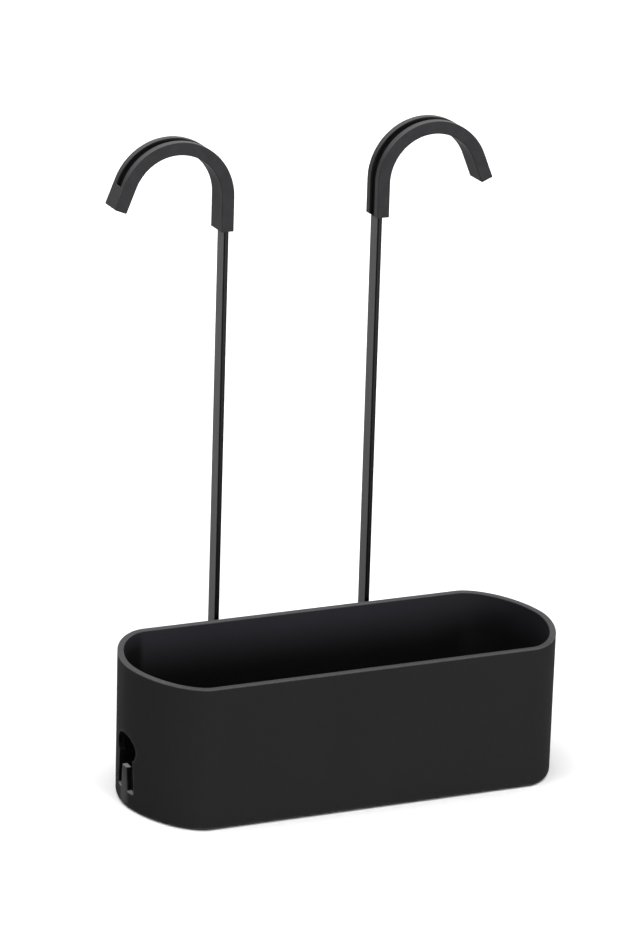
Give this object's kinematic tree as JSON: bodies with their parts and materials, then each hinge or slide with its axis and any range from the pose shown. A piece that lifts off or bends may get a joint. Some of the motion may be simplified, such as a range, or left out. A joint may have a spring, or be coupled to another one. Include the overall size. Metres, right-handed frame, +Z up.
{
  "type": "hair dryer holder",
  "caption": "Open moulded bin with a keyed cable opening, hung from flat steel bars with sleeved hooks that swivel in rear brackets.",
  "frame": {"origin": "middle of the flat underside of the bin", "axes": "+X along the bin towards the right hanger, +Y to the rear, where the hangers are, +Z up"},
  "size_m": [0.3, 0.1545, 0.4199],
  "materials": {
    "bin_plastic": "matte black moulded plastic with a very fine grain",
    "sleeve_vinyl": "matte charcoal vinyl",
    "painted_bar": "satin black painted flat steel",
    "cast_bracket": "black coated cast aluminium, slightly grained",
    "plated_steel": "bright zinc plated steel"
  },
  "bodies": {
    "bin": {"bin_shell": "bin_plastic", "bracket_left": "cast_bracket", "friction_washer_left": "plated_steel", "bracket_screw_left_1": "plated_steel", "bracket_screw_left_2": "plated_steel", "bracket_screw_left_3": "plated_steel", "bracket_screw_left_4": "plated_steel", "bracket_right": "cast_bracket", "friction_washer_right": "plated_steel", "bracket_screw_right_1": "plated_steel", "bracket_screw_right_2": "plated_steel", "bracket_screw_right_3": "plated_steel", "bracket_screw_right_4": "plated_steel"},
    "hanger_left": {"hanger_bar_left": "painted_bar", "hook_sleeve_left": "sleeve_vinyl", "spindle_left": "cast_bracket", "cross_pin_left": "plated_steel", "lower_washer_left": "plated_steel", "retaining_screw_left": "plated_steel"},
    "hanger_right": {"hanger_bar_right": "painted_bar", "hook_sleeve_right": "sleeve_vinyl", "spindle_right": "cast_bracket", "cross_pin_right": "plated_steel", "lower_washer_right": "plated_steel", "retaining_screw_right": "plated_steel"}
  },
  "joints": [
    {"name": "left_hanger_swivel", "type": "hinge", "parent": "bin", "child": "hanger_left", "pos_m": [-0.0546, 0.08, 0.044], "axis": [0, 0, 1], "range_deg": [-90, 0]},
    {"name": "right_hanger_swivel", "type": "hinge", "parent": "bin", "child": "hanger_right", "pos_m": [0.0546, 0.08, 0.044], "axis": [0, 0, 1], "range_deg": [0, 90]}
  ]
}
